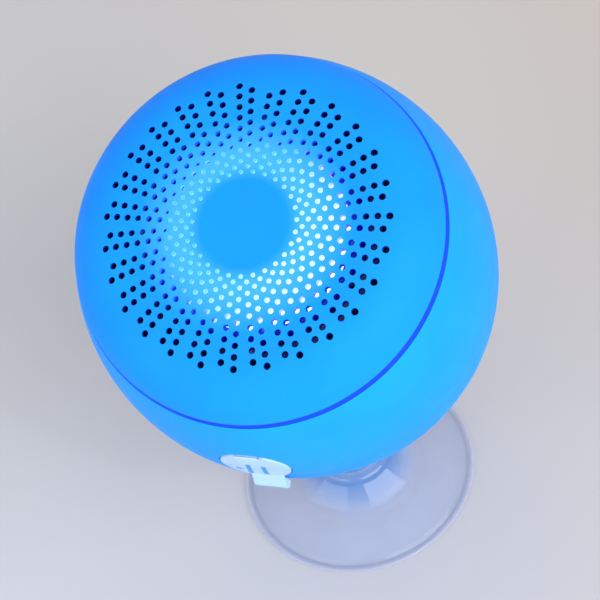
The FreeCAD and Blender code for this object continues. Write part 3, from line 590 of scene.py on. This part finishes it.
def depth_in_cap(n, place, r):
    """Depth below the cap's skin in millimetres, on its face and its shoulder."""
    z = n.math("MULTIPLY", n.new("ShaderNodeSeparateXYZ", Vector=place).outputs["Z"], 1 / MM)

    def from_arc(radius, centre_r, centre_z):
        across = n.math("POWER", n.math("SUBTRACT", r, centre_r), 2.0)
        up = n.math("POWER", n.math("SUBTRACT", z, centre_z), 2.0)
        return n.math("SUBTRACT", radius, n.math("SQRT", n.math("ADD", across, up)))

    face = from_arc(FACE_R, 0.0, APEX_Z - FACE_R)
    shoulder = from_arc(SHOULDER_R, CENTRE_R, CENTRE_Z)
    on_shoulder = n.math("GREATER_THAN", r, FACE_END_R)
    return n.math("ADD", n.math("MULTIPLY", face, n.math("SUBTRACT", 1.0, on_shoulder)),
                  n.math("MULTIPLY", shoulder, on_shoulder))


def grille_glow(n, place, tint):
    """The cap's colour with painted light: a painted pale ring round the cone, painted shade on the outer
    hole walls, and a painted glow on the inner hole walls, brighter towards one side.
    """
    r = axis_radius(n, place)
    # Painted light: a paler ring of the cap round the cone
    ring = n.math("MULTIPLY", n.remap(r, 7.5, 10.0, 0.0, 1.0), n.remap(r, 12.0, 18.5, 1.0, 0.0))
    tint = n.blend(n.math("MULTIPLY", ring, 0.26), tint, (0.16, 0.62, 1.0))
    wall = n.remap(depth_in_cap(n, place, r), 0.12, 0.4, 0.0, 1.0)
    # Painted shade: the outer hole walls darkened
    tint = n.blend(n.math("MULTIPLY", wall, n.remap(r, 16.0, 19.0, 0.0, 1.0)), tint, UNLIT_WALL)
    # Painted glow on the hole walls: deep blue farther out, cyan to white near the cone, centred off the axis
    # towards BRIGHT_WAY
    off_centre = n.new("ShaderNodeMapping", Vector=place, Location=[-c * WALL_SHIFT * MM for c in BRIGHT_WAY])
    lit_r = axis_radius(n, off_centre.outputs[0])
    deep_glow_mask = n.math("MULTIPLY", wall, n.remap(lit_r, 15.0, 20.5, 1.0, 0.0))
    light = n.blend(deep_glow_mask, BLACK, DEEP_GLOW)
    lit = n.math("MULTIPLY", wall, n.remap(lit_r, 14.4, 16.4, 0.68, 0.0))
    return tint, n.blend(lit, light, painted_glow_colour(n, place))


def casing(name, is_cap=False):
    """The bright blue skin: satin and faintly grained. The shell's copy is painted lighter than the cap's,
    and the cap's carries painted light from grille_glow.
    """
    n = Nodes(name)
    place = n.place if is_cap else speaker_place(n)
    # The shell gets a painted lighter blue than the cap
    blue = CAP_BLUE if is_cap else SHELL_BLUE_PAINTED_LIGHTER
    tint = n.ramp(n.noise(14.0, 3.0, 0.5, place), (0.3, shade(blue, 0.96)), (0.7, shade(blue, 1.04)))
    glow = {}
    if is_cap:
        # The cap carries painted light from grille_glow: a painted glow as emission, and painted shade and a
        # painted pale ring in its colour
        tint, light = grille_glow(n, place, tint)
        glow = {"Emission_Color": light, "Emission_Strength": 1.0}
    peel = n.noise(0.9, 2.0, 0.5, place)
    grain = n.noise(0.16, 2.0, 0.5, place)
    scuffs = n.noise(0.35, 6.0, 0.7, n.stretched((1, 16, 3), (0.4, 0.9, 0.3), place))
    worn = n.remap(scuffs, 0.66, 0.8, 0.0, 0.1)
    roughness = n.math("ADD", n.remap(n.noise(4.0, 5.0, 0.6, place), 0.3, 0.7, 0.42, 0.5), worn)
    normal = n.bump(grain, 0.0035, 0.7, n.bump(peel, 0.006, 0.6))
    n.shader(tint, roughness, normal, Specular_IOR_Level=0.07, Specular_Tint=(0.25, 0.6, 1.0, 1), **glow)
    return n.material


def milkiness(n, haze, face_on, edge_on):
    """How solid clear vinyl looks: see-through face on and milkier edge on."""
    slant = n.new("ShaderNodeLayerWeight", Blend=0.35).outputs["Facing"]
    return n.math("ADD", n.remap(slant, 0.25, 1.0, face_on, edge_on), n.remap(haze, 0.3, 0.7, -0.02, 0.02))


def clear_vinyl(name, colour, rough, face_on, edge_on):
    """Soft clear vinyl, with a little haze and surface ripple."""
    n = Nodes(name)
    haze = n.noise(5.0, 4.0)
    tint = n.ramp(haze, (0.3, shade(colour, 0.97)), (0.7, shade(colour, 1.02)))
    ripple = n.bump(n.noise(2.4, 2.0), 0.02, 0.5)
    n.shader(tint, n.remap(haze, 0.3, 0.7, rough, rough + 0.06), ripple,
             Alpha=milkiness(n, haze, face_on, edge_on), Specular_IOR_Level=1.0)
    return n.material


def cup_vinyl(name):
    """The clear cup: see-through on its dome, with a painted blue reflection round the boss, and a dark line
    inside a pale rim.
    """
    n = Nodes(name)
    haze = n.noise(5.0, 4.0)
    r = axis_radius(n)
    painted_reflection_mask = n.remap(r, BOSS_NEAR, BOSS_FAR, 1.0, 0.0)
    line = n.remap(n.math("ABSOLUTE", n.math("SUBTRACT", r, LINE_R)), 0.1, 0.6, 1.0, 0.0)
    rim = n.remap(r, RIM_IN, RIM_OUT, 0.0, 1.0)
    tint = n.ramp(haze, (0.3, (0.4, 0.5, 0.8)), (0.7, (0.44, 0.56, 0.86)))
    # Painted reflection: bluer and more solid round the boss
    tint = n.blend(painted_reflection_mask, tint, (0.12, 0.28, 0.62))
    tint = n.blend(line, tint, (0.3, 0.35, 0.52))
    tint = n.blend(rim, tint, (0.58, 0.62, 0.86))
    solid = milkiness(n, haze, 0.14, 0.62)
    solid = n.math("ADD", solid, n.math("MULTIPLY", painted_reflection_mask, 0.33))
    solid = n.math("ADD", solid, n.math("MULTIPLY", n.math("MAXIMUM", line, rim), 0.08))
    flank = n.bump(n.remap(r, FLANK_IN, FLANK_OUT, 1.0, 0.0), FLANK_HEIGHT)
    ripple = n.bump(n.noise(2.4, 2.0), 0.02, 0.5, flank)
    n.shader(tint, n.remap(haze, 0.3, 0.7, 0.05, 0.1), ripple, Alpha=solid, Specular_IOR_Level=1.0)
    return n.material


def glowing_rubber(name):
    """The black surround, with a painted blue glow on it where it meets the cone."""
    n = Nodes(name)
    place = speaker_place(n)
    r = axis_radius(n, place)
    pores = n.cells(0.22, vector=place)
    # Painted glow: blue emission by the cone's edge
    glow = n.remap(r, CONE_EDGE, CONE_EDGE + 2.6, 1.0, 0.0)
    light = n.blend(glow, BLACK, EDGE_GLOW)
    n.shader((0.012, 0.012, 0.016), n.remap(n.noise(3.2, 5.0), 0.3, 0.7, 0.5, 0.66), n.bump(pores, 0.01, 0.6),
             Emission_Color=light, Emission_Strength=1.0)
    return n.material


def board_green(name):
    """Solder mask over copper tracks, with vias."""
    n = Nodes(name)
    place = speaker_place(n)
    tracks = n.new("ShaderNodeTexBrick", {"offset": 0.37, "squash": 1.7}, Vector=place,
                   Scale=260.0, Color1=(0, 0, 0, 1), Color2=(0, 0, 0, 1), Mortar=(1, 1, 1, 1))
    tracks.inputs["Mortar Size"].default_value = 0.035
    vias = n.remap(n.cells(2.6, vector=place), 0.1, 0.13, 1.0, 0.0)
    mask = n.blend(tracks.outputs["Color"], (0.012, 0.13, 0.055), (0.03, 0.24, 0.09))
    tint = n.blend(vias, mask, (0.75, 0.6, 0.3))
    raised = n.math("ADD", tracks.outputs["Fac"], vias)
    n.shader(tint, n.remap(n.noise(6.0, vector=place), 0.3, 0.7, 0.3, 0.42), n.bump(raised, 0.03, 0.6))
    return n.material


def foil(name, colour):
    """Crinkled metal foil, painted darker in the hollows of its crinkles and lighter on their ridges."""
    n = Nodes(name)
    crinkle = n.noise(2.6, 6.0, 0.62)
    # Painted shade in the crinkles' hollows, painted light on their ridges
    tint = n.ramp(crinkle, (0.35, shade(colour, 0.9)), (0.65, shade(colour, 1.08)))
    n.shader(tint, n.remap(crinkle, 0.35, 0.65, 0.24, 0.42), n.bump(crinkle, 0.12, 0.7), Metallic=1.0)
    return n.material


def foamy(name, colour):
    """Open-celled foam, with painted shade in its cells."""
    n = Nodes(name)
    bubbles = n.cells(0.4)
    # Painted shade: darker in the hollow of each cell, lighter at its rim
    tint = n.blend(n.remap(bubbles, 0.1, 0.5, 0.0, 1.0), shade(colour, 0.5), shade(colour, 1.2))
    n.shader(tint, 0.9, n.bump(bubbles, 0.12), Sheen_Weight=0.2)
    return n.material


def pressed_cone(name, colour):
    """The pale pressed cone: fine rings and fibres, and a painted glow, cyan and nearly white towards one
    side.
    """
    n = Nodes(name)
    place = speaker_place(n)
    r = axis_radius(n, place)
    rings = n.math("SINE", n.math("MULTIPLY", r, 9.0))
    fibres = n.noise(0.35, 5.0, 0.65, place)
    tint = n.ramp(fibres, (0.3, shade(colour, 0.93)), (0.7, shade(colour, 1.04)))
    height = n.math("ADD", n.math("MULTIPLY", rings, 0.4), fibres)
    # Painted glow: emission coloured by position, brighter towards BRIGHT_WAY
    n.shader(tint, 0.5, n.bump(height, 0.02, 0.7), Emission_Color=painted_glow_colour(n, place), Emission_Strength=0.8)
    return n.material


MADE = {
    "casing_blue": casing,
    "seam_blue": lambda name: rubbery(name, (0.001, 0.05, 0.8), 0.6, Specular_IOR_Level=0.15),
    "cover_white": lambda name: rubbery(name, (0.34, 0.53, 0.77), 0.55, Subsurface_Weight=0.1,
                                        Subsurface_Scale=0.001),
    "icon_blue": lambda name: rubbery(name, (0.02, 0.25, 0.7), 0.5),
    "cup_clear": cup_vinyl,
    "neck_blue": lambda name: moulded(name, (0.012, 0.28, 0.82), 0.34),
    "hub_clear": lambda name: clear_vinyl(name, (0.3, 0.45, 0.75), 0.14, 0.3, 0.8),
    "steel": lambda name: metal(name, (0.56, 0.56, 0.58), 0.28),
    "black_plastic": lambda name: moulded(name, (0.012, 0.012, 0.018), 0.45, 0.5, 0.01, 0.15),
    "white_plastic": lambda name: moulded(name, (0.78, 0.82, 0.87), 0.4, 0.5, 0.008, 0.04),
    "black_rubber": lambda name: rubbery(name, (0.015, 0.015, 0.018), 0.6),
    "cone_white": lambda name: pressed_cone(name, (0.84, 0.9, 0.95)),
    "plated_steel": lambda name: metal(name, (0.09, 0.09, 0.11), 0.38, (1, 1, 6)),
    "ferrite": lambda name: moulded(name, (0.045, 0.045, 0.05), 0.62, 0.12, 0.02, 0.35),
    "copper": lambda name: metal(name, (0.75, 0.33, 0.14), 0.25, (1, 1, 60), 0.08, 0.05),
    "paper_brown": lambda name: woven(name, (0.42, 0.25, 0.11)),
    "board_green": board_green,
    "chip_black": lambda name: moulded(name, (0.03, 0.03, 0.034), 0.5, 0.15, 0.01, 0.2),
    "shield_tin": lambda name: metal(name, (0.66, 0.66, 0.68), 0.26, (14, 1, 1)),
    "light_lens": lambda name: clear_vinyl(name, (0.6, 0.8, 1.0), 0.2, 0.6, 0.9),
    "battery_foil": lambda name: foil(name, (0.7, 0.71, 0.73)),
    "foam_grey": lambda name: foamy(name, (0.2, 0.21, 0.23)),
    "lead_red": lambda name: rubbery(name, (0.5, 0.02, 0.02), 0.42),
    "nylon_white": lambda name: moulded(name, (0.72, 0.72, 0.69), 0.5, 0.3, 0.008, 0.05),
}

slot_of = {row["node"]: row["material_slot"] for row in frame["record"]["subparts"]}
materials = {slot: make("look_" + slot) for slot, make in MADE.items()}
for node, obj in frame["nodes"].items():
    for one in obj.material_slots:
        one.material = materials[slot_of[node]]

for one in frame["nodes"]["surround"].material_slots:
    one.material = glowing_rubber("look_surround")

foam = foam_cushion()
foam.data.materials.append(materials["foam_grey"])

cap = front_cap()
cap.data.materials.append(casing("look_cap", is_cap=True))


# ---------------------------------------------------------------- stage
def add_camera():
    back = facing(AZIMUTH, ELEVATION)
    camera = linked("camera", bpy.data.cameras.new("camera"))
    camera.data.lens = LENS
    camera.data.sensor_width = SENSOR
    camera.data.clip_start = CLIP_START
    camera.rotation_mode = "QUATERNION"
    roll = Matrix.Rotation(ROLL, 3, "Z").to_quaternion()
    camera.rotation_quaternion = (-back).to_track_quat("-Z", "Y") @ roll
    camera.location = LOOK_AT + back * DISTANCE
    bpy.context.scene.camera = camera


def floor_paper():
    """Pale paper with faint clouding, and painted shading across it: lighter and cooler on one side, darker
    and warmer on the other.
    """
    n = Nodes("look_floor")
    # Painted shading: a gradient across the floor
    across = n.remap(n.along((0.7, 0.71, 0.0)), -0.08, 0.12, 0.0, 1.0)
    paper = n.blend(across, (0.505, 0.52, 0.56), (0.475, 0.44, 0.41))
    mottled = n.blend(n.remap(n.noise(45.0, 2.0), 0.3, 0.7, 0.0, 0.25), paper, (0.465, 0.455, 0.455))
    n.shader(mottled, 0.75, n.bump(n.noise(3.0, 4.0), 0.03), Specular_IOR_Level=0.2)
    return n.material


def add_floor():
    mesh = bpy.data.meshes.new("floor")
    corners = [(-FLOOR_HALF, -FLOOR_HALF, 0), (FLOOR_HALF, -FLOOR_HALF, 0),
               (FLOOR_HALF, FLOOR_HALF, 0), (-FLOOR_HALF, FLOOR_HALF, 0)]
    mesh.from_pydata(corners, [], [(0, 1, 2, 3)])
    mesh.materials.append(floor_paper())
    floor = linked("floor", mesh)
    floor.location.z = -FLOOR_DROP


def area_light(name, azimuth, elevation, distance, size, power, colour):
    """A disc lamp that faces the speaker. Angles in degrees, lengths in metres and power in watts."""
    away = facing(math.radians(azimuth), math.radians(elevation))
    data = bpy.data.lights.new(name, "AREA")
    data.shape = "DISK"
    data.size = size
    data.energy = power
    data.color = colour
    lamp = linked(name, data)
    lamp.location = LOOK_AT + away * distance
    lamp.rotation_mode = "QUATERNION"
    lamp.rotation_quaternion = (-away).to_track_quat("-Z", "Y")


def set_world(colour, strength):
    world = bpy.data.worlds.new("studio")
    bpy.context.scene.world = world
    world.use_nodes = True
    background = world.node_tree.nodes["Background"]
    background.inputs[0].default_value = (*colour, 1)
    background.inputs[1].default_value = strength


add_camera()
add_floor()
area_light("key", 55, 26, 1.2, 1.3, 18.0, (1.0, 0.985, 0.97))
area_light("fill", -35, 14, 1.3, 1.4, 10.0, (0.95, 0.98, 1.0))
area_light("glint", 54, 42, 1.0, 0.06, 0.7, (1.0, 1.0, 1.0))

set_world((0.96, 0.97, 1.0), 0.8)
bpy.context.scene.view_settings.view_transform = "Standard"
